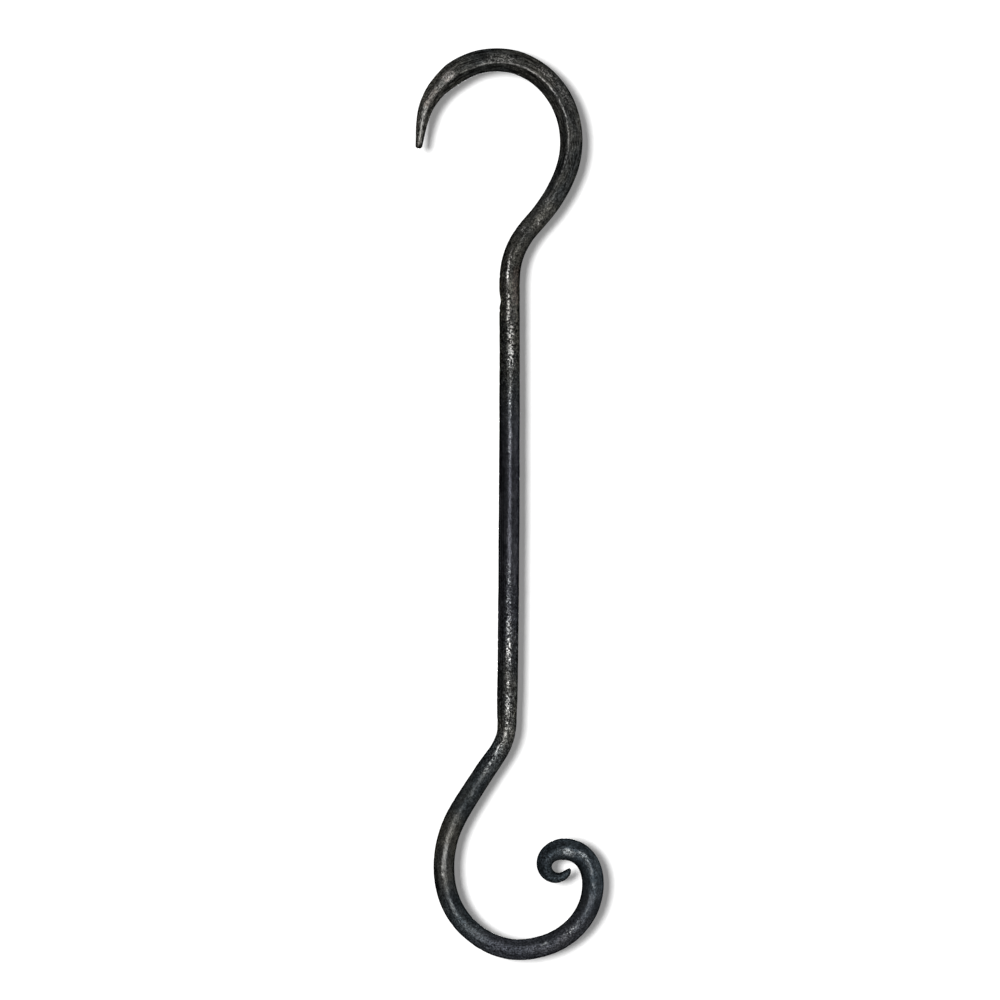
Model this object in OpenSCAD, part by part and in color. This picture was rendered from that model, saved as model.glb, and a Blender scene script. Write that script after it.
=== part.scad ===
// Long S hook, forged by hand from one round bar.
// The top is a crook drawn out to a tapered point, the bottom a bowl that ends in a tapered scroll.
// The bar lies in the XZ plane: +Z runs up the shank, +X is the side that the bowl opens to.
// The origin is the crook's seat, the highest point inside the crook, where a rail bears.

/* [Bar] */
// Diameter of the round bar, as it stays along the shank
bar_diameter = 6.75; // [5:0.05:8]
// Length over which one bend runs into the next
bend_run_in = 8; // [4:0.5:12]

/* [Crook] */
// Straight stretch at the point of the crook
point_straight = 7.5; // [3:0.5:15]
// Radius of the crook over the rail, to the middle of the bar
crook_radius = 24.5; // [20:0.5:32]
// Turn of the crook over the rail, in degrees
crook_turn = 149; // [130:1:165]
// Radius of the back of the crook
back_radius = 29.5; // [22:0.5:40]
// Turn of the back of the crook, in degrees
back_turn = 48; // [30:1:60]
// Radius of the shoulder that runs down into the neck
shoulder_radius = 54; // [35:1:80]
// Turn of the shoulder, in degrees
shoulder_turn = 21; // [10:1:35]
// Width of the hammered bar across the crook, seen from the front
crook_width = 7.65; // [5.5:0.05:9]
// Thickness of the hammered bar on the crook, front to back
crook_thickness = 5.8; // [4.5:0.1:7.5]

/* [Point] */
// Length over which the bar is drawn down to the point
point_taper = 28; // [15:1:50]
// Width of the blunt point
point_width = 2.1; // [1.2:0.1:3.5]
// Thickness of the blunt point
point_thickness = 2; // [1.2:0.1:3.5]
// Length over which the end of the point is rounded off
point_round = 0.6; // [0.3:0.1:1]

/* [Neck and shank] */
// Radius of the neck that brings the bar back in line with the shank
neck_radius = 24; // [16:1:40]
// Turn of the neck, in degrees
neck_turn = 44; // [25:1:60]
// Straight length of the shank
shank_length = 147.5; // [60:0.5:300]

/* [Elbow and link] */
// Radius of the elbow below the shank
elbow_radius = 13; // [10:1:30]
// Turn of the elbow, in degrees
elbow_turn = 33; // [15:1:45]
// Width of the bar where the elbow pinches it
elbow_width = 6.05; // [4.5:0.05:7.5]
// Thickness of the bar where the elbow spreads it
elbow_thickness = 6.9; // [5:0.1:8]
// Straight link between the elbow and the bowl
link_length = 24; // [10:0.5:50]

/* [Bowl] */
// Radius of the first sweep into the bowl
entry_radius = 35; // [25:1:50]
// Turn of the first sweep, in degrees
entry_turn = 47; // [35:1:60]
// Radius of the bowl that carries the load
bowl_radius = 25; // [20:0.5:35]
// Turn of the bowl, in degrees
bowl_turn = 122; // [100:1:140]
// Radius of the bowl's rise to the scroll
rise_radius = 20; // [15:0.5:28]
// Turn of the rise, in degrees
rise_turn = 57; // [40:1:70]

/* [Scroll] */
// Radius of the scroll's outer turn
scroll_radius = 9; // [7:0.5:12]
// Turn of the scroll's outer turn, in degrees
scroll_turn = 108; // [90:1:125]
// Radius of the eye that the tip curls round
eye_radius = 4.3; // [3.8:0.1:6]
// Turn of the eye, in degrees
eye_turn = 190; // [120:1:195]
// Straight stretch at the tip of the scroll
tip_straight = 2.5; // [1.5:0.5:4]
// Width of the bar on the outer turn, seen from the front
scroll_width = 7.25; // [5.5:0.05:8]
// Thickness of the bar on the outer turn, front to back
scroll_thickness = 6.2; // [4.5:0.1:7.5]
// Length over which the bar is drawn down to the tip
scroll_taper = 21; // [15:1:30]
// Width of the blunt tip
tip_width = 2.3; // [1.4:0.1:3]
// Thickness of the blunt tip
tip_thickness = 2.8; // [1.6:0.1:4]
// Length over which the end of the tip is rounded off
tip_round = 2; // [1:0.1:3]
// How far the end of the tip lies towards the inside of its curl, as a share of its half width
tip_lift = 0.6; // [0:0.05:0.8]

/* [Hammered faces of the crook] */
// How far the bar's round section is driven towards a square one, from 0 to 1
squareness = 0.4; // [0:0.05:0.8]
// Place of the ridge where the neck starts, as a share of the width from the inside edge
neck_ridge_place = 0.31; // [0.2:0.01:0.45]
// Place of the ridge at the point, as a share of the width from the inside edge
point_ridge_place = 0.41; // [0.35:0.01:0.55]
// Depth left standing at the inside edge, as a share of the thickness
edge_depth = 0.3; // [0.15:0.01:0.6]
// Depth of the bevel along the outside of the point, as a share of the half section
point_bevel = 0.1; // [0:0.01:0.2]
// Direction that the bevel along the outside of the point faces, in degrees from the side
point_bevel_facing = 40; // [30:1:55]
// Length over which the bevel along the outside of the point runs in and out
point_bevel_run = 3; // [1:0.5:3]

/* [Hidden] */

// Fineness of the surface: points round the bar, most turn and most length from ring to ring
section_points = 24;
ring_turn = 7.5;
ring_step = 5;
// Steps in which the blunt ends are rounded off
nose_angles = [20, 45, 70];
// Small steps in which the middle line is summed between two rings
path_steps = 6;

// A straight stretch and a bend, each as [length, degrees turned per millimetre].
// The bar is followed from the crook's point to the scroll's tip, and a clockwise turn is positive.
function straight(length) = [length, 0];
function bend(radius, turn) = [PI * radius * abs(turn) / 180, sign(turn) * 180 / (PI * radius)];

stretches = [
    straight(point_straight),
    bend(crook_radius, crook_turn),
    bend(back_radius, back_turn),
    bend(shoulder_radius, shoulder_turn),
    bend(neck_radius, -neck_turn),
    straight(shank_length),
    bend(elbow_radius, elbow_turn),
    straight(link_length),
    bend(entry_radius, -entry_turn),
    bend(bowl_radius, -bowl_turn),
    bend(rise_radius, -rise_turn),
    bend(scroll_radius, -scroll_turn),
    bend(eye_radius, -eye_turn),
    straight(tip_straight)
];
// Places of the stretches that other values are tied to
CROOK = 1;
BACK = 2;
SHOULDER = 3;
NECK = 4;
ELBOW = 6;
LINK = 7;
BOWL = 9;
SCROLL = 11;
STRETCHES = len(stretches);

function sum(values) = len(values) == 0 ? 0 : [for (value = values) 1] * values;

// Distance along the bar at which each stretch starts, and the whole length at the end
starts = [for (i = [0:STRETCHES]) sum([for (j = [0:1:i - 1]) stretches[j][0]])];
bar_length = starts[STRETCHES];

// Rate of turn along the bar: each bend runs into the next over half its run-in on either side
function half_run(i) = min(bend_run_in, stretches[i - 1][0], stretches[i][0]) / 2;
turn_rate = [
    [0, stretches[0][1]],
    for (i = [1:STRETCHES - 1]) each [
        [starts[i] - half_run(i), stretches[i - 1][1]],
        [starts[i] + half_run(i), stretches[i][1]]
    ],
    [bar_length, stretches[STRETCHES - 1][1]]
];

// Degrees turned from the point to a place on the bar: the area under the rate of turn
function turned(s) = sum([
    for (i = [0:len(turn_rate) - 2])
        let (from = turn_rate[i][0], to = min(s, turn_rate[i + 1][0]))
        if (to > from) (to - from) * (turn_rate[i][1] + lookup(to, turn_rate)) / 2
]);

// Heading of the bar above the +X direction. The shank runs straight down.
start_heading = crook_turn + back_turn + shoulder_turn - neck_turn - 90;
function heading(s) = start_heading - turned(s);
function left_of(angle) = [-sin(angle), cos(angle)];

// Step of the middle line from one place on the bar to another
function travel(from, to) = sum([
    for (j = [0:path_steps - 1])
        let (angle = heading(from + (to - from) * (j + 0.5) / path_steps))
        [cos(angle), sin(angle)]
]) * (to - from) / path_steps;

// Places on the bar where it lies level: the crook's seat at the top and the bowl's seat at the bottom
crook_seat_at = starts[CROOK] + start_heading / stretches[CROOK][1];
bowl_seat_at = starts[BOWL] + (90 + elbow_turn - entry_turn) / -stretches[BOWL][1];

// Width and thickness of the bar, and how far it is hammered off round, by distance along it
elbow_middle = (starts[ELBOW] + starts[LINK]) / 2;
pinch_reach = (starts[LINK] - starts[ELBOW]) / 2 + bend_run_in;
widths = [
    [0, point_width],
    [point_taper, crook_width],
    [starts[BACK], crook_width],
    [starts[NECK], bar_diameter],
    [elbow_middle - pinch_reach, bar_diameter],
    [elbow_middle, elbow_width],
    [elbow_middle + pinch_reach, bar_diameter],
    [starts[BOWL], bar_diameter],
    [starts[SCROLL], scroll_width],
    [bar_length - scroll_taper, scroll_width],
    [bar_length, tip_width]
];
thicknesses = [
    [0, point_thickness],
    [point_taper, crook_thickness],
    [starts[BACK], crook_thickness],
    [starts[NECK], bar_diameter],
    [elbow_middle - pinch_reach, bar_diameter],
    [elbow_middle, elbow_thickness],
    [elbow_middle + pinch_reach, bar_diameter],
    [starts[BOWL], bar_diameter],
    [starts[SCROLL], scroll_thickness],
    [bar_length - scroll_taper, scroll_thickness],
    [bar_length, tip_thickness]
];
hammering = [[0, 1], [starts[SHOULDER], 1], [starts[NECK], 0]];
ridge_places = [[0, point_ridge_place], [starts[NECK], neck_ridge_place]];
point_bevels = [
    [point_straight - point_bevel_run, 0],
    [point_straight, point_bevel],
    [point_taper, point_bevel],
    [point_taper + point_bevel_run, 0]
];

// Distance from the middle of the bar to its surface, for a bar 2 wide and 2 thick.
// The angle is measured from the left side of the bar. On the crook the right side is the inside,
// where a bevel runs on the front and on the back from the ridge down to the inside edge.
function bevel_reach(angle, hammered, ridge) =
    let (
        normal = [edge_depth - 1, 2 * ridge],
        length = norm(normal),
        offset = (normal * [2 * ridge - 1, 1]) / length,
        facing = (cos(angle) * normal[0] + abs(sin(angle)) * normal[1]) / length
    )
    facing <= 0 ? 2 : (hammered * offset + 1 - hammered) / facing;
function rounded_reach(angle, hammered) =
    let (power = 2 + 2 * squareness * hammered)
    pow(pow(abs(cos(angle)), power) + pow(abs(sin(angle)), power), -1 / power);
// On the point a second bevel runs along the outside, on the front and on the back.
function point_bevel_reach(angle, depth) =
    let (facing = cos(angle) * cos(point_bevel_facing) + abs(sin(angle)) * sin(point_bevel_facing))
    depth == 0 || facing <= 0 ? 2 : (1 - depth) / facing;
function reach(angle, s) =
    let (hammered = lookup(s, hammering))
    min(
        rounded_reach(angle, hammered),
        bevel_reach(angle, hammered, lookup(s, ridge_places)),
        point_bevel_reach(angle, lookup(s, point_bevels))
    );

// Rings of points along the bar, each as [distance along the bar, share of the full section]
marks = [
    point_round,
    for (i = [1:STRETCHES - 1])
        if (starts[i] < bar_length - tip_round) each
            i == CROOK ? [starts[i], crook_seat_at] : i == BOWL ? [starts[i], bowl_seat_at] : [starts[i]],
    bar_length - tip_round
];
function steps_between(from, to) =
    ceil(max((to - from) / ring_step, abs(heading(to) - heading(from)) / ring_turn));
function nose(angle) = 1 - cos(angle);
rings = [
    for (angle = nose_angles) [point_round * nose(angle), sin(angle)],
    for (i = [0:len(marks) - 2])
        let (steps = steps_between(marks[i], marks[i + 1]))
        for (j = [0:steps - 1]) [marks[i] + (marks[i + 1] - marks[i]) * j / steps, 1],
    [bar_length - tip_round, 1],
    for (i = [len(nose_angles) - 1:-1:0])
        [bar_length - tip_round * nose(nose_angles[i]), sin(nose_angles[i])]
];
RINGS = len(rings);

// Middle line through the rings, starting from the crook's point
spine = [
    for (i = 0, place = [0, 0]; i < RINGS;
         place = i < RINGS - 1 ? place + travel(rings[i][0], rings[i + 1][0]) : place, i = i + 1)
        place
];
seat_ring = [for (i = [0:RINGS - 1]) if (rings[i][0] == crook_seat_at) i][0];
seat = spine[seat_ring] - [0, lookup(crook_seat_at, widths) / 2];

// Distance by which the rounded end of the tip lies off the middle line
function off_line(s, share) =
    s > bar_length - tip_round ? tip_lift * (1 - share) * lookup(s, widths) / 2 : 0;

// Points of one ring, in its place on the bar
function ring_points(i) =
    let (
        s = rings[i][0],
        share = rings[i][1],
        half_width = share * lookup(s, widths) / 2,
        half_thickness = share * lookup(s, thicknesses) / 2,
        sideways = left_of(heading(s)),
        middle = spine[i] - seat + sideways * off_line(s, share)
    )
    [
        for (j = [0:section_points - 1])
            let (
                angle = 360 * j / section_points,
                out = reach(angle, s),
                place = middle + sideways * half_width * out * cos(angle)
            )
            [place[0], half_thickness * out * sin(angle), place[1]]
    ];

// The bar, swept through its rings and closed by a flat at each blunt end
module s_hook() {
    points = [for (i = [0:RINGS - 1]) each ring_points(i)];
    last_ring = (RINGS - 1) * section_points;
    sides = [
        for (i = [0:RINGS - 2])
            for (j = [0:section_points - 1])
                let (
                    here = i * section_points,
                    next = here + section_points,
                    k = (j + 1) % section_points
                )
                each [
                    [here + j, here + k, next + k],
                    [here + j, next + k, next + j]
                ]
    ];
    point_end = [for (j = [section_points - 1:-1:0]) j];
    tip_end = [for (j = [0:section_points - 1]) last_ring + j];
    color("#2a2a2b")
        polyhedron(points = points, faces = concat([point_end], sides, [tip_end]), convexity = 10);
}

s_hook();
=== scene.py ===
"""Hand-forged black iron S hook, hung before a pale board and seen square from the front."""
import math
from collections import namedtuple

import bpy
import numpy as np
from mathutils import Matrix, Vector, noise


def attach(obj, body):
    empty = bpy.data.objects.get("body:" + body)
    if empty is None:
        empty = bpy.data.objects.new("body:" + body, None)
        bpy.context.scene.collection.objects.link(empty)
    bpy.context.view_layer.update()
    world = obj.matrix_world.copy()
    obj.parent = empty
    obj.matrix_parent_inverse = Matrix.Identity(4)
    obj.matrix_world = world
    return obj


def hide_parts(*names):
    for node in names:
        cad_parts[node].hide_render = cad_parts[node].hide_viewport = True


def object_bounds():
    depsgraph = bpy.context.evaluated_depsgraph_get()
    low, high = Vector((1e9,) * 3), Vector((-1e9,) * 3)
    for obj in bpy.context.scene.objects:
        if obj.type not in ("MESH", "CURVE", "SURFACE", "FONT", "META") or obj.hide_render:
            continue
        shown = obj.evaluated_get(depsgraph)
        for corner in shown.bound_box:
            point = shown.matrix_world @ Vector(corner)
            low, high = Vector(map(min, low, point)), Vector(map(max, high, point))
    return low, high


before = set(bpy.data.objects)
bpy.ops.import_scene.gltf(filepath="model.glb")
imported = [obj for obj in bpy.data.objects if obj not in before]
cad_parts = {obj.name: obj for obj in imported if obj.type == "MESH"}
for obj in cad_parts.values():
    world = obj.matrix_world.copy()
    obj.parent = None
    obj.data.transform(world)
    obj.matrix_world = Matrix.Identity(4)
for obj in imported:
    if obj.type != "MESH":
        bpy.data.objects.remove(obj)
cad_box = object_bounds()

MM = 0.001
NODE = "s_hook"

# The photograph's frame: where the crook's seat lies in it, how tall the hook is there, how it leans
PHOTO_SIZE_PX = 1000
SEAT_PX = (496.2, 71.3)
HOOK_HEIGHT_PX = 911.6
LEAN_DEG = 0.34
CAMERA_DISTANCE = 1.5
SENSOR_WIDTH_MM = 36

# The bar, in millimetres and degrees, followed from the crook's point to the scroll's tip
BAR_DIAMETER = 6.75
BEND_RUN_IN = 8
CROOK_TURN = 149
BACK_TURN = 48
SHOULDER_TURN = 21
NECK_TURN = 44
SHANK_HEADING = -90
ELBOW_WIDTH = 6.05
ELBOW_THICKNESS = 6.9
CROOK_WIDTH = 7.65
CROOK_THICKNESS = 5.8
POINT_TAPER = 28
POINT_WIDTH = 2.1
POINT_THICKNESS = 2.0
SCROLL_WIDTH = 7.25
SCROLL_THICKNESS = 6.2
SCROLL_TAPER = 21
TIP_WIDTH = 2.3
TIP_THICKNESS = 2.8
# The hammered crook: how far its section is squared, and the share of its thickness at its inside edge
SQUARENESS = 0.4
EDGE_DEPTH = 0.3
# The blunt ends: the point is cut nearly square, the tip's end lies towards the inside of its curl
POINT_ROUND = 0.6
TIP_ROUND = 2
TIP_LIFT = 0.6
# Such a rounding stops at this share of its depth and leaves a small flat face
ROUNDING_STOP = 0.9

# Fineness of the mesh, and the row of its points that follows the crook's ridge
SIDES = 64
RIDGE_ROW = 45
RING_STEP = 0.3
PATH_STEP = 0.02
# Direction of the front, in radians round the bar from the crook's outside
FRONT = 1.5 * math.pi


def straight(length):
    """A straight stretch, as its length and its turn per millimetre."""
    return length, 0.0


def bend(radius, turn):
    """A bend, as its length and its turn per millimetre. A clockwise turn is positive."""
    angle = math.radians(turn)
    return radius * abs(angle), math.copysign(1 / radius, angle)


STRETCHES = {
    "point": straight(7.5),
    "crook": bend(24.5, CROOK_TURN),
    "back": bend(29.5, BACK_TURN),
    "shoulder": bend(54, SHOULDER_TURN),
    "neck": bend(24, -NECK_TURN),
    "shank": straight(147.5),
    "elbow": bend(13, 33),
    "link": straight(24),
    "entry": bend(35, -47),
    "bowl": bend(25, -122),
    "rise": bend(20, -57),
    "scroll": bend(9, -108),
    "eye": bend(4.3, -190),
    "tip": straight(2.5),
}
LENGTHS = [length for length, rate in STRETCHES.values()]
RATES = [rate for length, rate in STRETCHES.values()]
ENDS = np.cumsum(LENGTHS)
START = dict(zip(STRETCHES, np.concatenate([[0], ENDS[:-1]])))
BAR_LENGTH = ENDS[-1]
ELBOW_MIDDLE = (START["elbow"] + START["link"]) / 2
PINCH = (START["link"] - START["elbow"]) / 2 + BEND_RUN_IN

# The smith's hand in the bar's form, as marks of (distance along the bar, value)
# Place of the crook's ridge, as a share of the width from the inside edge
RIDGE_PLACE_MARKS = [
    (0, 0.41), (20, 0.39), (27, 0.32), (36, 0.31), (50, 0.38), (64, 0.4), (77, 0.4), (92, 0.33),
    (116, 0.31),
]
# Sideways wander of the hand-bent bar, in millimetres to the left of its run
WANDER_MARKS = [
    (0, 0.1), (14, 0.1), (25, -0.3), (50, 0), (65, -0.35), (100, 0), (122, 0), (136, -0.3), (160, -0.1),
    (210, 0.05), (255, -0.05), (279, -0.3), (291, 0.2), (299, 0), (318, 0.2), (338, 0), (357, 0.1),
    (372, -0.2), (381, 0), (393, -0.2), (411, -0.2), (429, 0), (436, 0.15), (BAR_LENGTH, 0.15),
]
# Uneven width of the hand-drawn bar, in millimetres over its plain width
SWELL_MARKS = [
    (80, 0), (93, 0.15), (110, 0), (185, 0), (205, 0.15), (255, 0.1), (280, 0), (298, 0), (315, 0.28),
    (328, 0.15), (345, 0.05), (357, -0.25), (370, -0.08), (395, -0.05), (430, -0.1), (BAR_LENGTH, -0.2),
]
# Hammer flats, each as (start, end, direction it faces, depth as a share of the half section)
# The direction is in degrees round the bar: 0 is the crook's outside, 180 its inside, -90 the front
FLATS = [
    (6, 31, -40, 0.1),
    (6, 31, 40, 0.1),
    (56, 112, -60, 0.02),
    (56, 112, 60, 0.02),
    (112, 130, -112, 0.045),
    (283, 294, -122, 0.04),
    (314, 338, -91, 0.035),
    (350, 384, -82, 0.035),
    (393, 410, -92, 0.035),
    (414, 429, -76, 0.07),
]
FLAT_RUN_OUT = 3
# A flat or bevel cuts the section only where its facing, as a cosine, is more than this
LEAST_FACING = 0.1
# A nick in the shank's left edge: where it is, how long and how deep, and, in radians round the bar,
# the direction it faces and how far it reaches to either side
NICK_PLACE = 142
NICK_LENGTH = 1.7
NICK_DEPTH = 0.42
NICK_FACING = math.pi
NICK_ARC = 0.6

# Unevenness of the forged skin in millimetres: its amount, and its size across and along the bar
Unevenness = namedtuple("Unevenness", "amount across along")
HAND_WORK = Unevenness(amount=0.05, across=5, along=14)
BLOWS = Unevenness(amount=0.04, across=2.6, along=4.2)
GROOVES = Unevenness(amount=0.025, across=0.55, along=11)
PITS = Unevenness(amount=0.13, across=0.75, along=0.85)
# How far the edges of worn marks, and of the painted light among them, are torn to a side
TEAR = Unevenness(amount=0.5, across=0.7, along=0.9)
# Levels of the noise at which a pit starts and is fully deep, and its shift away from the other noises
PIT_STARTS = 0.05
PIT_FULL = 0.4
PIT_SHIFT = 50
# The section grows by the relief as a share of its radius, which is taken to be at least this
LEAST_RADIUS = 0.5

# Looks along the bar, as marks of (distance along the bar, value)
# Roughness of the skin: dull on the hammered crook, smoother on the shank
ROUGHNESS_MARKS = [
    (0, 0.42), (26, 0.44), (36, 0.54), (108, 0.54), (124, 0.42), (140, 0.33), (165, 0.32),
    (236, 0.32), (250, 0.30), (284, 0.30), (298, 0.48), (312, 0.48), (320, 0.42), (336, 0.42),
    (346, 0.50), (396, 0.48), (412, 0.44), (428, 0.44), (436, 0.54), (BAR_LENGTH, 0.56),
]
# Tint: 1 is a warm olive brown, -1 a cold blue
WARMTH_MARKS = [
    (0, 0.9), (22, 0.8), (32, 0.4), (44, 0.2), (50, 0.4), (58, 0.8), (66, 0.5), (82, 0.5), (92, 0.3),
    (102, 0.3), (115, 0.7), (140, 0.7), (160, 0.4), (174, 0.0), (188, -0.5), (236, -0.3), (258, 0.2),
    (278, 0.6), (294, 0.0), (312, 0.0), (324, 0.7), (336, 0.4), (352, -0.6), (374, -0.6), (390, -0.1),
    (410, -0.7), (BAR_LENGTH, -0.9),
]
# Share of a violet tint in the skin
VIOLET_MARKS = [
    (170, 0), (190, 0.8), (245, 0.7), (270, 0), (355, 0), (368, 0.6), (382, 0.6), (395, 0.5),
    (405, 0.3), (412, 0),
]
# Brightness of the skin, as a factor on its colour
SHADE_MARKS = [
    (0, 0.35), (1.2, 0.6), (3, 1.6), (20, 1.2), (34, 0.85), (50, 0.76), (62, 0.88), (78, 0.93),
    (94, 0.78), (100, 0.9), (108, 1.45), (120, 1.4), (130, 0.75), (136, 0.8), (240, 0.8), (262, 0.9),
    (280, 1.35), (292, 1.45), (302, 1.35), (312, 1.15), (345, 1.1), (358, 1.2), (374, 1.5), (396, 1.3),
    (404, 1.05), (414, 1.2), (428, 1.15), (BAR_LENGTH, 1.15),
]
# How much darker the crook's bevel is than its face
BEVEL_SHADE_MARKS = [(20, 0.4), (60, 0.4), (80, 0.2), (116, 0.1)]
# Share of loose forge scale, which leaves the skin pitted and speckled
PITTED_MARKS = [
    (0, 0.5), (30, 0.35), (96, 0.45), (108, 0.6), (126, 0.5), (142, 0.9), (162, 1.0), (172, 0.35),
    (186, 0.25), (222, 0.3), (246, 0.8), (262, 0.8), (268, 0.6), (273, 1.0), (290, 1.0), (298, 0.6),
    (314, 0.4), (340, 0.4), (352, 0.6), (380, 0.6), (396, 0.55), (404, 0.2), (414, 0.4),
    (428, 0.5), (BAR_LENGTH, 0.8),
]
# Share of fine grit in the skin, least on the back of the crook and the middle of the shank
GRIT_MARKS = [
    (0, 0.7), (28, 0.9), (36, 0.6), (50, 0.6), (60, 0.45), (98, 0.45), (112, 0.8), (140, 1.0), (165, 0.9),
    (182, 0.4), (236, 0.4), (250, 0.9), (290, 1.0), (300, 0.6), (340, 0.6), (352, 0.7), (396, 0.6),
    (410, 0.5), (430, 0.6), (BAR_LENGTH, 0.6),
]
# Wear along the crook's ridge, and half its width in millimetres
RIDGE_WEAR_MARKS = [(33, 0), (38, 0.42), (48, 0.3), (62, 1.0), (76, 0.9), (98, 0.36), (108, 0)]
RIDGE_WEAR_REACH = 0.22

# Marks on the front and on the back, each as
# (start, end, places across at its two ends, half widths at its two ends, strength).
# The place across is in millimetres from the bar's middle, positive towards the crook's outside,
# which is the right of the shank and the inside of the bowl and the scroll.
# Rubbed bright: the point, the neck, the top of the shank, the link, the bowl, the rise and the scroll.
# Three of them are painted light instead: a painted sheen along the crook's outer edge, and painted light
# on the inside of the shoulder and the neck and down the right of the top of the shank
RUBBED_AND_PAINTED_LIGHT_MARKS = [
    (0.8, 15, (-0.1, 0), (0.3, 0.8), 0.4),
    (1, 5, (0.45, 0.4), (0.15, 0.15), 0.4),
    (13, 25, (0, 0.1), (1.0, 1.3), 0.13),
    (23.5, 29, (0.25, 0.3), (1.2, 1.4), 0.27),
    # painted sheen along the crook's outer edge
    (66, 102, (2.5, 2.6), (0.25, 0.25), 0.06),
    # painted light on the inside of the shoulder and the neck
    (102, 122, (-2.0, -1.9), (1.1, 1.0), 0.035),
    (124, 131, (-1.05, -0.95), (0.2, 0.25), 0.25),
    (128, 137, (-0.95, -0.75), (0.2, 0.24), 0.42),
    # painted light down the right of the top of the shank
    (133, 150, (1.6, 1.8), (0.8, 0.8), 0.06),
    (136, 153, (-0.75, -0.4), (0.22, 0.3), 0.22),
    (156, 160.5, (-0.3, 0.4), (0.4, 0.4), 1.0),
    (296, 309, (0.1, 0.1), (0.7, 0.7), 0.05),
    (344, 351, (0.1, -0.1), (0.5, 0.4), 0.2),
    (353, 364, (0, 0), (0.9, 0.9), 0.05),
    (381.5, 385, (0.9, 0.8), (0.3, 0.3), 0.5),
    (400, 403.5, (0.1, 0.2), (0.25, 0.25), 0.25),
    (408.5, 412, (-0.3, -0.4), (0.25, 0.25), 0.25),
    (413, 419, (0.1, 0), (0.4, 0.5), 0.15),
    (419, 422.5, (-0.6, -0.2), (0.9, 1.0), 0.12),
    (423, 428, (0.75, 0.7), (1.0, 0.9), 0.3),
]
# Rubbed bright with clean edges: the left edge of the shank, dashes on the elbow and the strip down the
# left of the bowl; and a painted highlight along the middle of the upper shank, which lifts its streak
POLISHED_AND_PAINTED_HIGHLIGHT_MARKS = [
    # painted highlight along the middle of the upper shank, lifting its streak
    (164, 182, (0.2, 0.1), (0.55, 0.5), 0.012),
    (205, 262, (-2.85, -2.85), (0.25, 0.25), 0.025),
    (283.4, 286.6, (-0.2, -0.7), (0.18, 0.2), 0.8),
    (288.4, 292.6, (-1.1, -0.65), (0.2, 0.2), 1.0),
    (311, 322, (0.1, 0), (0.25, 0.35), 0.035),
    (319, 329, (-0.1, 0), (0.32, 0.5), 0.06),
    (325, 335.2, (0, -0.1), (0.5, 0.55), 0.14),
    (334.8, 337.4, (-0.2, -0.2), (0.5, 0.45), 0.16),
    (337, 352, (-0.2, -0.1), (0.55, 0.55), 0.03),
]
# Broken into bright flecks: the point, the crown of the crook, the neck, the two ends of the shank, the
# elbow, the left and the right of the bowl and the scroll; also painted light on the outside of the crook
# and a painted highlight along the middle of the upper shank
FLECKED_AND_PAINTED_LIGHT_MARKS = [
    (12, 26, (0, 0.1), (1.0, 1.3), 0.16),
    (22, 30, (0.3, 0.3), (1.2, 1.4), 0.28),
    (36, 45, (-0.9, -0.8), (0.6, 0.6), 0.18),
    (38, 53, (0.4, 0.6), (1.3, 1.3), 0.17),
    (54, 67, (1.3, 1.7), (0.8, 0.8), 0.3),
    # painted light on the outside of the crook
    (57, 76, (2.2, 2.0), (1.2, 1.2), 0.16),
    (104.5, 107.5, (-1.3, -1.3), (0.4, 0.4), 0.42),
    (111, 116, (1.2, 1.0), (0.45, 0.45), 0.4),
    (116.5, 120, (-1.4, -1.2), (0.5, 0.5), 0.42),
    (125, 139, (-0.95, -0.7), (0.3, 0.36), 0.85),
    (136, 153, (-0.7, -0.4), (0.38, 0.45), 0.6),
    (137, 153, (0.3, 0.6), (1.2, 1.2), 0.08),
    (147, 167, (0.2, 0.4), (1.0, 0.9), 0.45),
    (163, 182, (0.3, 0.2), (0.6, 0.5), 0.15),
    (174, 185, (0.1, 0.1), (0.4, 0.4), 0.14),
    # painted highlight along the middle of the upper shank
    (180, 200, (0.1, 0.1), (0.5, 0.5), 0.08),
    (226, 250, (0, 0.1), (0.5, 0.8), 0.19),
    (244, 265, (0.1, 0.2), (0.8, 0.75), 0.42),
    (262, 272, (0.1, 0.4), (0.7, 0.7), 0.16),
    (268, 285, (1.7, 1.6), (0.6, 0.6), 0.12),
    (268, 286, (0.5, -0.2), (0.8, 0.6), 0.34),
    (269, 281, (1.6, 1.2), (0.2, 0.2), 0.5),
    (277, 287, (1.2, 1.7), (0.2, 0.2), 0.5),
    (280, 292, (-0.2, -0.9), (0.7, 0.5), 0.38),
    (285, 294, (-0.5, -0.7), (0.3, 0.3), 0.6),
    (287, 302, (-0.6, 0.2), (0.6, 0.5), 0.36),
    (319, 338, (0, -0.1), (0.5, 0.6), 0.1),
    (388, 400, (0.5, 0.2), (0.6, 0.5), 0.28),
    (417, 424, (-0.6, -0.2), (0.9, 1.0), 0.3),
    (421, 430, (0.75, 0.7), (1.0, 0.9), 0.42),
]
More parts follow.
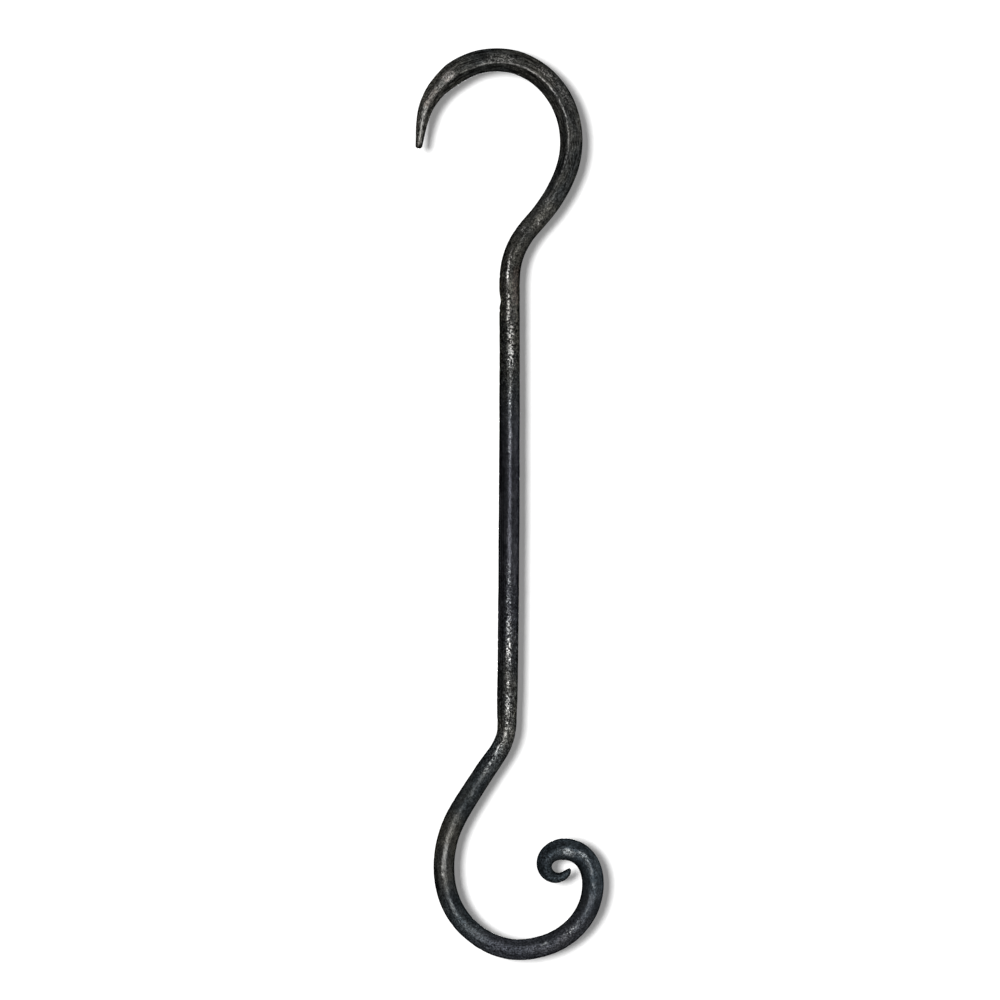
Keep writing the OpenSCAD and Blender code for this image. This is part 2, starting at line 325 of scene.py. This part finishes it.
# Dark smooth scale: the crown of the crook, two lines down the left of the shank, and patches on the link,
# round the bowl, on the rise and on the scroll; and painted shade over the left of the upper shank
SCALE_AND_PAINTED_SHADE_MARKS = [
    (28, 58, (-0.3, -0.3), (0.8, 0.8), 0.35),
    # painted shade over the left of the upper shank
    (160, 206, (-2.4, -2.4), (1.3, 1.3), 0.35),
    (186, 256, (-2.5, -2.5), (0.18, 0.18), 0.7),
    (196, 284, (-1.8, -1.8), (0.22, 0.22), 0.8),
    (306, 312.5, (-0.8, -0.8), (0.8, 0.8), 0.4),
    (317, 331, (1.6, 1.6), (0.6, 0.6), 0.35),
    (333, 342, (-2.4, -2.4), (0.5, 0.5), 0.6),
    (340, 358, (1.6, 1.7), (0.9, 0.9), 0.4),
    (365, 378, (2.9, 2.9), (0.8, 0.8), 0.3),
    (399, 421, (2.4, 2.4), (1.1, 1.1), 0.4),
    (425, 439, (-1.2, -0.8), (1.2, 0.8), 0.5),
]
# Closed and smooth, without grit: the left of the shank and the link, the inside of the bowl and the scroll
SMOOTH_MARKS = [
    (180, 290, (-2.4, -2.4), (1.4, 1.4), 0.8),
    (300, 318, (-2.2, -2.2), (1.5, 1.5), 0.7),
    (318, 360, (2.2, 2.2), (1.2, 1.2), 0.7),
    (356, 400, (2.4, 2.4), (1.3, 1.3), 0.6),
    (396, 426, (2.2, 2.2), (1.4, 1.4), 0.8),
]
# Brown with a breath of rust: the face of the point and the right side where the neck meets the shank
RUSTED_MARKS = [
    (13, 21, (0, 0), (0.8, 1.0), 0.25),
    (23.5, 29, (0.3, 0.3), (1.3, 1.4), 0.35),
    (130, 144, (1.9, 1.9), (0.9, 0.9), 0.28),
]
# Lengths over which such marks run out, and the shares of their half width where they fade and are gone
SOLID_RUN_OUT = 1.5
FLECK_RUN_OUT = 6
MARK_FADES = 0.75
MARK_GONE = 1.35
# Shares of the half thickness past which a place is on the front or the back, in part and in full
FACE_STARTS = 0.3
FACE_FULL = 0.6
# Places across from the crook's ridge, in millimetres, where its bevel starts and is full
BEVEL_STARTS = 0.05
BEVEL_FULL = -0.25


def profile(along, marks):
    """A value along the bar, run straight from mark to mark."""
    places, values = zip(*marks)
    return np.interp(along, places, values)


def smooth(start, full, value):
    """0 up to the start and 1 from full on, with a soft run between. Either may be the larger."""
    share = np.clip((value - start) / (full - start), 0, 1)
    return share * share * (3 - 2 * share)


def hump(value, middle, reach):
    """1 at the middle, falling softly to nothing past the reach."""
    return np.exp(-((value - middle) / reach) ** 2)


def turn_rate(along):
    """Turn per millimetre along the bar: each bend runs into the next over its run-in."""
    marks = [(0, RATES[0])]
    for i, end in enumerate(ENDS[:-1]):
        half = min(BEND_RUN_IN, LENGTHS[i], LENGTHS[i + 1]) / 2
        marks += [(end - half, RATES[i]), (end + half, RATES[i + 1])]
    marks.append((BAR_LENGTH, RATES[-1]))
    return profile(along, marks)


def running_sum(values):
    """Area under values sampled along the fine path, from its start to each one."""
    return np.concatenate([[0], np.cumsum((values[1:] + values[:-1]) / 2 * PATH_STEP)])


def middle_line(along):
    """Places of the bar's middle in the XZ plane and its heading, at given distances along it."""
    fine = np.arange(0, BAR_LENGTH, PATH_STEP)
    start_heading = math.radians(CROOK_TURN + BACK_TURN + SHOULDER_TURN - NECK_TURN + SHANK_HEADING)
    heading = start_heading - running_sum(turn_rate(fine))
    x = running_sum(np.cos(heading))
    z = running_sum(np.sin(heading))
    seat = int(np.argmax(np.where(fine < START["shoulder"], z, -np.inf)))
    x -= x[seat]
    z -= z[seat] - CROOK_WIDTH / 2
    return np.interp(along, fine, x), np.interp(along, fine, z), np.interp(along, fine, heading)


def size_along(along, point, crook, elbow, scroll, tip):
    """Width or thickness of the bar along it, from its size at each of its marks."""
    return profile(along, [
        (0, point),
        (POINT_TAPER, crook),
        (START["back"], crook),
        (START["neck"], BAR_DIAMETER),
        (ELBOW_MIDDLE - PINCH, BAR_DIAMETER),
        (ELBOW_MIDDLE, elbow),
        (ELBOW_MIDDLE + PINCH, BAR_DIAMETER),
        (START["bowl"], BAR_DIAMETER),
        (START["scroll"], scroll),
        (BAR_LENGTH - SCROLL_TAPER, scroll),
        (BAR_LENGTH, tip),
    ])


def rounding(share):
    """Share of the full section at a blunt end, by the share of its rounding that is passed."""
    return np.sqrt(1 - np.clip(1 - share, 0, ROUNDING_STOP) ** 2)


def hammering(along):
    """How far the bar is hammered off round: wholly on the crook, not at all past the shoulder."""
    return profile(along, [(START["shoulder"], 1), (START["neck"], 0)])


def ridge_place(along):
    """Place of the crook's ridge, as a share of the width from the inside edge."""
    return profile(along, RIDGE_PLACE_MARKS)


def section_reach(along, angle):
    """Distance from the bar's middle to its surface, for a bar 2 wide and 2 thick."""
    hammered = hammering(along)
    ridge = ridge_place(along)
    power = 2 + 2 * SQUARENESS * hammered
    rounded = (np.abs(np.cos(angle)) ** power + np.abs(np.sin(angle)) ** power) ** (-1 / power)
    normal_u = EDGE_DEPTH - 1
    normal_v = 2 * ridge
    length = np.hypot(normal_u, normal_v)
    offset = (normal_u * (2 * ridge - 1) + normal_v) / length
    facing = (np.cos(angle) * normal_u + np.abs(np.sin(angle)) * normal_v) / length
    bevel = (hammered * offset + 1 - hammered) / np.maximum(facing, LEAST_FACING)
    reach = np.minimum(rounded, bevel)
    for start, end, direction, depth in FLATS:
        share = smooth(start, start + FLAT_RUN_OUT, along) * smooth(end, end - FLAT_RUN_OUT, along)
        facing = np.cos(angle - math.radians(direction))
        reach = np.minimum(reach, (1 - depth * share) / np.maximum(facing, LEAST_FACING))
    return reach


def angles_round(along):
    """Angles of the points round the bar, drawn together so that one row of them follows the ridge."""
    even = np.arange(SIDES)[None, :] * 2 * math.pi / SIDES
    ridge_row = RIDGE_ROW * 2 * math.pi / SIDES
    ridge = FRONT - np.arctan(1 - 2 * ridge_place(along))
    return even + (ridge - ridge_row) * np.sin(even) / math.sin(ridge_row)


def noise_over(u, v, along, kind):
    """Smooth noise over the straightened bar, as large across and along it as its kind says."""
    points = np.stack([u / kind.across, v / kind.across, along / kind.along], axis=-1)
    values = [noise.noise(point) for point in points.reshape(-1, 3).tolist()]
    return np.array(values).reshape(u.shape)


def relief(u, v, along, angle):
    """Height of the forged skin over the plain section, in millimetres, and its pits by themselves."""
    hand_work = HAND_WORK.amount * noise_over(u, v, along, HAND_WORK)
    blows = BLOWS.amount * noise_over(u, v, along, BLOWS)
    grooves = GROOVES.amount * hammering(along) * noise_over(u, v, along, GROOVES)
    pits = smooth(PIT_STARTS, PIT_FULL, noise_over(u, v, along + PIT_SHIFT, PITS))
    pits *= profile(along, PITTED_MARKS)
    from_nick = np.angle(np.exp(1j * (angle - NICK_FACING)))
    nick = NICK_DEPTH * hump(along, NICK_PLACE, NICK_LENGTH) * hump(from_nick, 0, NICK_ARC)
    return hand_work + blows + grooves - PITS.amount * pits - nick, pits


# The bar's surface in rings of points: for each point its distance along the bar, its places across and
# through it, its pits and its place in space, and for each ring half its width and thickness
Bar = namedtuple("Bar", "along u v half_width half_thickness pits places")


def sweep_bar():
    """The forged section, swept along the middle line."""
    line = np.linspace(0, BAR_LENGTH, int(BAR_LENGTH / RING_STEP))
    tip_nose = rounding((BAR_LENGTH - line) / TIP_ROUND)
    nose = rounding(line / POINT_ROUND) * tip_nose
    widths = size_along(line, POINT_WIDTH, CROOK_WIDTH, ELBOW_WIDTH, SCROLL_WIDTH, TIP_WIDTH)
    widths += profile(line, SWELL_MARKS)
    thicknesses = size_along(
        line, POINT_THICKNESS, CROOK_THICKNESS, ELBOW_THICKNESS, SCROLL_THICKNESS, TIP_THICKNESS)
    half_width = (nose * widths / 2)[:, None]
    half_thickness = (nose * thicknesses / 2)[:, None]
    along = np.repeat(line[:, None], SIDES, axis=1)
    angle = angles_round(along)
    reach = section_reach(along, angle)
    u = half_width * reach * np.cos(angle)
    v = half_thickness * reach * np.sin(angle)
    height, pits = relief(u, v, along, angle)
    grown = 1 + height * nose[:, None] / np.maximum(np.hypot(u, v), LEAST_RADIUS)
    lift = TIP_LIFT * (1 - tip_nose) * widths / 2
    sideways = u * grown + (lift + profile(line, WANDER_MARKS))[:, None]
    x, z, heading = (values[:, None] for values in middle_line(line))
    places = np.stack([x - np.sin(heading) * sideways, v * grown, z + np.cos(heading) * sideways], axis=-1)
    return Bar(along, u, v, half_width, half_thickness, pits, places)


def skin_mesh(places):
    """A closed mesh over rings of points, with a face across each end."""
    rings = len(places)
    ring = np.arange(rings - 1)[:, None] * SIDES
    here = np.arange(SIDES)[None, :]
    after = (here + 1) % SIDES
    quads = np.stack([ring + here, ring + SIDES + here, ring + SIDES + after, ring + after], axis=-1)
    first_ring = range(SIDES)
    last_ring = range((rings - 1) * SIDES, rings * SIDES)
    faces = quads.reshape(-1, 4).tolist()
    faces.append(list(first_ring))
    faces.append(list(reversed(last_ring)))
    mesh = bpy.data.meshes.new("forged_hook")
    mesh.from_pydata((places.reshape(-1, 3) * MM).tolist(), [], faces)
    mesh.shade_smooth()
    return mesh


def marked(marks, u, along, run_out):
    """How strongly each place is marked, from 0 to 1."""
    strongest = np.zeros_like(u)
    for start, end, across, half_widths, strength in marks:
        share = np.clip((along - start) / (end - start), 0, 1)
        middle = across[0] + (across[1] - across[0]) * share
        half = half_widths[0] + (half_widths[1] - half_widths[0]) * share
        run = min(run_out, (end - start) / 2)
        lengthwise = smooth(start, start + run, along) * smooth(end, end - run, along)
        sideways = smooth(half * MARK_GONE, half * MARK_FADES, np.abs(u - middle))
        strongest = np.maximum(strongest, strength * lengthwise * sideways)
    return strongest


def looks_of(bar):
    """What the material reads at each point of the bar, by name."""
    along = bar.along
    u = bar.u
    hammered = hammering(along)
    ridge_u = (2 * ridge_place(along) - 1) * bar.half_width
    on_ridge = hump(u, ridge_u, RIDGE_WEAR_REACH)
    on_bevel = hammered * smooth(BEVEL_STARTS, BEVEL_FULL, u - ridge_u)
    on_face = smooth(FACE_STARTS, FACE_FULL, np.abs(bar.v) / bar.half_thickness)
    closed = marked(SMOOTH_MARKS, u, along, FLECK_RUN_OUT)
    torn = u + TEAR.amount * noise_over(u, bar.v, along, TEAR)
    return {
        "straightened": np.stack([u, bar.v, along], axis=-1),
        "roughness": profile(along, ROUGHNESS_MARKS),
        "warmth": profile(along, WARMTH_MARKS),
        "violet": profile(along, VIOLET_MARKS),
        "shade": profile(along, SHADE_MARKS) * (1 - profile(along, BEVEL_SHADE_MARKS) * on_bevel),
        "pitted": profile(along, PITTED_MARKS),
        "gritty": profile(along, GRIT_MARKS) * (1 - closed),
        "pits": bar.pits,
        "hammered": hammered,
        "ridge": profile(along, RIDGE_WEAR_MARKS) * on_face * on_ridge,
        # rubbed wear, with painted light in some marks
        "rubbed_and_painted_light": on_face * marked(RUBBED_AND_PAINTED_LIGHT_MARKS, torn, along, SOLID_RUN_OUT),
        # polished wear, with a painted highlight in one mark
        "polished_and_painted_highlight": on_face * marked(POLISHED_AND_PAINTED_HIGHLIGHT_MARKS, u, along, SOLID_RUN_OUT),
        # flecked wear, with painted light and a painted highlight in some marks
        "flecked_and_painted_light": on_face * marked(FLECKED_AND_PAINTED_LIGHT_MARKS, torn, along, FLECK_RUN_OUT),
        # scale, with painted shade in one mark
        "scaled_and_painted_shade": marked(SCALE_AND_PAINTED_SHADE_MARKS, u, along, SOLID_RUN_OUT),
        "rusted": marked(RUSTED_MARKS, u, along, SOLID_RUN_OUT),
    }


def store(mesh, name, values):
    """Keep a value, or a place, for each point of the mesh, for the material to read."""
    if values.ndim == 3:
        attribute = mesh.attributes.new(name, "FLOAT_VECTOR", "POINT")
        attribute.data.foreach_set("vector", values.astype(np.float32).ravel())
    else:
        attribute = mesh.attributes.new(name, "FLOAT", "POINT")
        attribute.data.foreach_set("value", values.astype(np.float32).ravel())


def build_hook():
    """The visible bar, with its looks kept on its points."""
    bar = sweep_bar()
    mesh = skin_mesh(bar.places)
    for name, values in looks_of(bar).items():
        store(mesh, name, values)
    hook = bpy.data.objects.new("forged_hook", mesh)
    bpy.context.scene.collection.objects.link(hook)
    return hook


# A Mix node keeps its sockets by kind of data: these are its pairs to mix, and its colour result
MIX_NUMBERS = (2, 3)
MIX_COLOURS = (6, 7)
COLOUR_RESULT = 2


class Nodes:
    """Short ways to make and join the nodes of one material."""

    def __init__(self, tree):
        self.tree = tree

    def new(self, kind, **settings):
        """A new node of a kind, with its settings."""
        node = self.tree.nodes.new(kind)
        for name, value in settings.items():
            setattr(node, name, value)
        return node

    def put(self, socket, value):
        """Join a socket to another node's output, or set it to a plain value."""
        if isinstance(value, bpy.types.NodeSocket):
            self.tree.links.new(value, socket)
        else:
            socket.default_value = value

    def stored(self, name, output="Fac"):
        """What the mesh keeps under a name."""
        return self.new("ShaderNodeAttribute", attribute_name=name).outputs[output]

    def math(self, operation, first, second, third=0.0):
        """A sum, a product or the like of numbers."""
        node = self.new("ShaderNodeMath", operation=operation)
        for socket, given in zip(node.inputs, (first, second, third)):
            self.put(socket, given)
        return node.outputs[0]

    def spread(self, value, low, high, to_low, to_high):
        """A value carried softly from one range to another and held inside it."""
        node = self.new("ShaderNodeMapRange", interpolation_type="SMOOTHSTEP")
        for socket, given in zip(node.inputs, (value, low, high, to_low, to_high)):
            self.put(socket, given)
        return node.outputs[0]

    def mix(self, share, first, second, blend="MIX"):
        """A colour run from a first one to a second one by a share."""
        node = self.new("ShaderNodeMix", data_type="RGBA", blend_type=blend)
        self.put(node.inputs[0], share)
        self.put(node.inputs[MIX_COLOURS[0]], first)
        self.put(node.inputs[MIX_COLOURS[1]], second)
        return node.outputs[COLOUR_RESULT]

    def between(self, share, first, second):
        """A number run from a first value to a second one by a share."""
        node = self.new("ShaderNodeMix", data_type="FLOAT")
        self.put(node.inputs[0], share)
        self.put(node.inputs[MIX_NUMBERS[0]], first)
        self.put(node.inputs[MIX_NUMBERS[1]], second)
        return node.outputs[0]

    def noise(self, place, grain):
        """Noise on the straightened bar, in grains of a given size."""
        counted = self.new("ShaderNodeVectorMath", operation="DIVIDE")
        self.put(counted.inputs[0], place)
        self.put(counted.inputs[1], (grain.across, grain.across, grain.along))
        node = self.new("ShaderNodeTexNoise")
        self.put(node.inputs["Vector"], counted.outputs[0])
        self.put(node.inputs["Scale"], 1.0)
        self.put(node.inputs["Detail"], grain.detail)
        self.put(node.inputs["Roughness"], grain.roughness)
        return node.outputs[0]


WARM_IRON = (0.0152, 0.0148, 0.0131, 1)
COLD_IRON = (0.0115, 0.0144, 0.0168, 1)
VIOLET_IRON = (0.0142, 0.0140, 0.0167, 1)
RUSTED_IRON = (0.0300, 0.0215, 0.0185, 1)
# Bright iron for rubbed and flecked wear; the same colours paint light and highlights in some marks
WARM_RUBBED_AND_PAINTED_LIGHT_IRON = (0.265, 0.257, 0.243, 1)
COLD_RUBBED_AND_PAINTED_LIGHT_IRON = (0.242, 0.257, 0.265, 1)
WARM_FLECKED_AND_PAINTED_LIGHT_IRON = (0.43, 0.416, 0.395, 1)
COLD_FLECKED_AND_PAINTED_LIGHT_IRON = (0.392, 0.416, 0.43, 1)
METALLIC = 0.8
EDGE_TINT = (0.2, 0.2, 0.2, 1)

# Grains of noise in the iron: their size across and along the bar in millimetres, and their finer detail
Grain = namedtuple("Grain", "across along detail roughness", defaults=[0.55])
GRAINS = {
    "mottle": Grain(1.1, 1.5, detail=3),
    "clouds": Grain(4, 9, detail=2),
    "streaks": Grain(0.42, 4.0, detail=3, roughness=0.6),
    "speckle": Grain(0.5, 0.58, detail=2, roughness=0.6),
    "grit": Grain(0.42, 0.45, detail=2, roughness=0.7),
    "breaks": Grain(0.5, 0.9, detail=2),
    "brushing": Grain(0.42, 1.0, detail=2),
    "flecks": Grain(0.45, 0.5, detail=2),
}
# How a noise or a stored value turns into another value, as (low, high, value at low, value at high)
# Tint that the clouds add, and the share of warm colour by the whole tint
CLOUD_TINT = (0.3, 0.7, -0.3, 0.3)
WARM_SHARE = (-1, 1, 0, 1)
# Factors on the skin's brightness
MOTTLE_SHADE = (0.3, 0.7, 0.75, 1.3)
GRIT_SHADE = (0.34, 0.66, 0.15, 2.1)
CLOUD_SHADE = (0.35, 0.65, 0.75, 1.28)
SPECKLE_SHADE = (0.32, 0.7, 0.25, 2.4)
STREAK_SHADE = (0.36, 0.64, 0.25, 2.15)
PIT_SHADE = (0, 1, 1.1, 0.4)
SCALE_AND_PAINTED_SHADE_FACTOR = (0, 1, 1.0, 0.15)
HOLLOW_SHADE = (0.44, 0.58, 0.1, 1.0)
# Factors on the strength of worn marks and of the painted light among them
RIDGE_BREAKS = (0.4, 0.6, 0.1, 1.15)
RUBBED_AND_PAINTED_LIGHT_BRUSHING = (0.4, 0.6, 0.2, 1.2)
FLECK_EDGES = (0.55, 0.63, 0.02, 1.05)
# How much a strong mark grows its flecks, and how much a pit takes from them
FLECK_GROWTH = 0.2
FLECK_LOSS = 0.12
# Roughness that the mottle and the pits add
MOTTLE_ROUGHNESS = (0.3, 0.72, -0.05, 0.05)
PIT_ROUGHNESS = 0.12
# Heights of the fine bump in metres: everywhere, under loose scale, and in the crook's streaks
PLAIN_BUMP = 0.00002
PITTED_BUMP = 0.0002
STREAK_BUMP = 0.00012


def iron_skin(n, grain, warm):
    """Colour of the blackened skin: tinted along the bar, mottled, streaked where it was hammered, darkened
    by scale and by painted shade.
    """
    skin = n.mix(warm, COLD_IRON, WARM_IRON)
    skin = n.mix(n.stored("violet"), skin, VIOLET_IRON)
    skin = n.mix(n.stored("rusted"), skin, RUSTED_IRON)
    shades = [
        n.stored("shade"),
        n.spread(grain["mottle"], *MOTTLE_SHADE),
        n.between(n.stored("gritty"), 1.0, n.spread(grain["grit"], *GRIT_SHADE)),
        n.spread(grain["clouds"], *CLOUD_SHADE),
        n.between(n.stored("pitted"), 1.0, n.spread(grain["speckle"], *SPECKLE_SHADE)),
        n.between(n.stored("hammered"), 1.0, n.spread(grain["streaks"], *STREAK_SHADE)),
        n.spread(n.stored("pits"), *PIT_SHADE),
        # scale, and painted shade on the left of the shank
        n.spread(n.stored("scaled_and_painted_shade"), *SCALE_AND_PAINTED_SHADE_FACTOR),
    ]
    for shade in shades:
        skin = n.mix(1.0, skin, shade, "MULTIPLY")
    return skin


def worn_iron(n, grain, warm, skin):
    """The skin with its worn marks: the ridge broken along its length, rubbed streaks, bright flecks, and
    among them some painted light and painted highlights.
    """
    rubbed_and_painted_light_iron = n.mix(warm, COLD_RUBBED_AND_PAINTED_LIGHT_IRON, WARM_RUBBED_AND_PAINTED_LIGHT_IRON)
    flecked_and_painted_light_iron = n.mix(warm, COLD_FLECKED_AND_PAINTED_LIGHT_IRON, WARM_FLECKED_AND_PAINTED_LIGHT_IRON)
    ridge = n.math("MULTIPLY", n.stored("ridge"), n.spread(grain["breaks"], *RIDGE_BREAKS))
    # rubbed wear, with painted light in some marks
    rubbed_and_painted_light = n.math("MULTIPLY", n.stored("rubbed_and_painted_light"), n.spread(grain["brushing"], *RUBBED_AND_PAINTED_LIGHT_BRUSHING))
    colour = n.mix(n.math("MAXIMUM", ridge, rubbed_and_painted_light), skin, rubbed_and_painted_light_iron)
    strength = n.stored("flecked_and_painted_light")
    ragged = n.math("MULTIPLY_ADD", strength, FLECK_GROWTH, grain["flecks"])
    ragged = n.math("MULTIPLY_ADD", n.stored("pits"), -FLECK_LOSS, ragged)
    # bright flecks, and in some marks painted light and painted highlights
    flecks = n.math("MULTIPLY", strength, n.spread(ragged, *FLECK_EDGES))
    hollows = n.between(strength, 1.0, n.spread(ragged, *HOLLOW_SHADE))
    colour = n.mix(1.0, colour, hollows, "MULTIPLY")
    return n.mix(n.math("MAXIMUM", flecks, n.stored("polished_and_painted_highlight")), colour, flecked_and_painted_light_iron)


def iron_roughness(n, grain):
    """Roughness along the bar, uneven with the mottle and greater in the pits."""
    mottled = n.math("ADD", n.stored("roughness"), n.spread(grain["mottle"], *MOTTLE_ROUGHNESS))
    return n.math("MULTIPLY_ADD", n.stored("pits"), PIT_ROUGHNESS, mottled)


def iron_bump(n, grain):
    """Fine bump: speckles, most under loose scale, and streaks where the bar was hammered."""
    speckle_depth = n.math("MULTIPLY_ADD", n.stored("pitted"), PITTED_BUMP, PLAIN_BUMP)
    streak_depth = n.math("MULTIPLY", n.stored("hammered"), STREAK_BUMP)
    speckle_height = n.math("MULTIPLY", grain["speckle"], speckle_depth)
    streak_height = n.math("MULTIPLY", grain["streaks"], streak_depth)
    bump = n.new("ShaderNodeBump")
    bump.inputs["Strength"].default_value = 1.0
    bump.inputs["Distance"].default_value = 1.0
    n.put(bump.inputs["Height"], n.math("ADD", speckle_height, streak_height))
    return bump.outputs[0]


def iron_material():
    """Blackened, waxed iron, speckled with scale, streaked where hammered and worn bright, with some
    painted light, highlights and shade.
    """
    material = bpy.data.materials.new("black_iron")
    material.use_nodes = True
    shader = material.node_tree.nodes["Principled BSDF"]
    n = Nodes(material.node_tree)
    place = n.stored("straightened", "Vector")
    grain = {name: n.noise(place, given) for name, given in GRAINS.items()}
    tint = n.math("ADD", n.stored("warmth"), n.spread(grain["clouds"], *CLOUD_TINT))
    warm = n.spread(tint, *WARM_SHARE)
    skin = iron_skin(n, grain, warm)
    n.put(shader.inputs["Base Color"], worn_iron(n, grain, warm, skin))
    n.put(shader.inputs["Roughness"], iron_roughness(n, grain))
    n.put(shader.inputs["Normal"], iron_bump(n, grain))
    shader.inputs["Metallic"].default_value = METALLIC
    shader.inputs["Specular IOR Level"].default_value = 0.0
    shader.inputs["Specular Tint"].default_value = EDGE_TINT
    return material


# The board: its gap behind the hook in millimetres, its size in metres, its colour and its faint glow
BOARD_GAP = 15.5
BOARD_SIZE = 0.9
BOARD_COLOUR = (0.9, 0.9, 0.9, 1)
BOARD_GLOW = 0.175


def board_material():
    """Pale board: it takes the hook's shadow, and can be seen through from behind."""
    material = bpy.data.materials.new("pale_board")
    material.use_nodes = True
    material.node_tree.nodes.clear()
    n = Nodes(material.node_tree)
    diffuse = n.new("ShaderNodeBsdfDiffuse")
    diffuse.inputs["Color"].default_value = BOARD_COLOUR
    glow = n.new("ShaderNodeEmission")
    glow.inputs["Strength"].default_value = BOARD_GLOW
    lit = n.new("ShaderNodeAddShader")
    n.put(lit.inputs[0], diffuse.outputs[0])
    n.put(lit.inputs[1], glow.outputs[0])
    mix = n.new("ShaderNodeMixShader")
    n.put(mix.inputs[0], n.new("ShaderNodeNewGeometry").outputs["Backfacing"])
    n.put(mix.inputs[1], lit.outputs[0])
    n.put(mix.inputs[2], n.new("ShaderNodeBsdfTransparent").outputs[0])
    n.put(n.new("ShaderNodeOutputMaterial").inputs["Surface"], mix.outputs[0])
    return material


def build_board(middle):
    """A pale upright board close behind the hook, seen by the camera alone."""
    half = BOARD_SIZE / 2
    y = cad_box[1][1] + BOARD_GAP * MM
    corners = [(-half, -half), (half, -half), (half, half), (-half, half)]
    mesh = bpy.data.meshes.new("board")
    mesh.from_pydata([(middle.x + a, y, middle.z + b) for a, b in corners], [], [(0, 1, 2, 3)])
    board = bpy.data.objects.new("board", mesh)
    bpy.context.scene.collection.objects.link(board)
    board.data.materials.append(board_material())
    board.visible_diffuse = False
    board.visible_glossy = False
    board.visible_shadow = False
    return board


# Lamps: degrees right of the camera's axis, degrees up, size in metres and power in watts
Lamp = namedtuple("Lamp", "right up size power")
SHADOW_LAMP = Lamp(right=-9, up=2, size=0.29, power=42)
HOOK_LAMPS = {
    "key": Lamp(right=7, up=-3, size=0.31, power=39),
    "side_fill": Lamp(right=70, up=0, size=1.4, power=11),
    "rim_fill": Lamp(right=114, up=0, size=1.2, power=13),
    "back_fill": Lamp(right=180, up=0, size=0.31, power=28),
    "left_fill": Lamp(right=-128, up=5, size=0.4, power=30),
    "top_fill": Lamp(right=180, up=72, size=1.0, power=11),
}
LAMP_DISTANCE = 2.0
# Strength of the world's light on dull surfaces: to the camera and in reflections it is 1
AMBIENT = 0.11


def add_softbox(name, lamp, target, lights):
    """A square soft lamp that faces the target and lights one object alone."""
    right = math.radians(lamp.right)
    up = math.radians(lamp.up)
    towards = Vector((math.sin(right) * math.cos(up), -math.cos(right) * math.cos(up), math.sin(up)))
    data = bpy.data.lights.new(name, "AREA")
    data.size = lamp.size
    data.energy = lamp.power
    softbox = bpy.data.objects.new(name, data)
    bpy.context.scene.collection.objects.link(softbox)
    softbox.location = target + LAMP_DISTANCE * towards
    softbox.rotation_euler = (-towards).to_track_quat("-Z", "Y").to_euler()
    softbox.visible_camera = False
    lit = bpy.data.collections.new(name + "_lights")
    lit.objects.link(lights)
    softbox.light_linking.receiver_collection = lit


def build_lights(middle, hook, board):
    """One lamp throws the hook's shadow on the board, and others light the hook."""
    add_softbox("shadow_lamp", SHADOW_LAMP, middle, board)
    for name, lamp in HOOK_LAMPS.items():
        add_softbox(name, lamp, middle, hook)


def build_world():
    """White to the camera and in reflections, and a low even light on the rest."""
    world = bpy.data.worlds.new("studio")
    bpy.context.scene.world = world
    world.use_nodes = True
    n = Nodes(world.node_tree)
    background = world.node_tree.nodes["Background"]
    background.inputs["Color"].default_value = (1, 1, 1, 1)
    path = n.new("ShaderNodeLightPath").outputs
    seen = n.math("MAXIMUM", path["Is Camera Ray"], path["Is Glossy Ray"])
    seen = n.math("MAXIMUM", seen, path["Is Transmission Ray"])
    n.put(background.inputs["Strength"], n.math("MAXIMUM", seen, AMBIENT))


def build_camera():
    """Square on to the hook, with the hook where the photograph has it. Returns the frame's middle."""
    metres_per_px = (cad_box[1][2] - cad_box[0][2]) / HOOK_HEIGHT_PX
    lean = math.radians(LEAN_DEG)
    right = (PHOTO_SIZE_PX / 2 - SEAT_PX[0]) * metres_per_px
    down = (PHOTO_SIZE_PX / 2 - SEAT_PX[1]) * metres_per_px
    across = Vector((math.cos(lean), 0, math.sin(lean)))
    upwards = Vector((-math.sin(lean), 0, math.cos(lean)))
    middle = right * across - down * upwards
    data = bpy.data.cameras.new("camera")
    data.sensor_width = SENSOR_WIDTH_MM
    data.lens = SENSOR_WIDTH_MM * CAMERA_DISTANCE / (PHOTO_SIZE_PX * metres_per_px)
    camera = bpy.data.objects.new("camera", data)
    bpy.context.scene.collection.objects.link(camera)
    forward = Vector((0, 1, 0))
    turn = Matrix((across, upwards, -forward)).transposed()
    camera.matrix_world = Matrix.Translation(middle - CAMERA_DISTANCE * forward) @ turn.to_4x4()
    bpy.context.scene.camera = camera
    return middle


bpy.context.scene.view_settings.view_transform = "Standard"
view_middle = build_camera()
build_world()
board = build_board(view_middle)
hook = build_hook()
hook.data.materials.append(iron_material())
build_lights(view_middle, hook, board)
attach(hook, "root")
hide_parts(NODE)
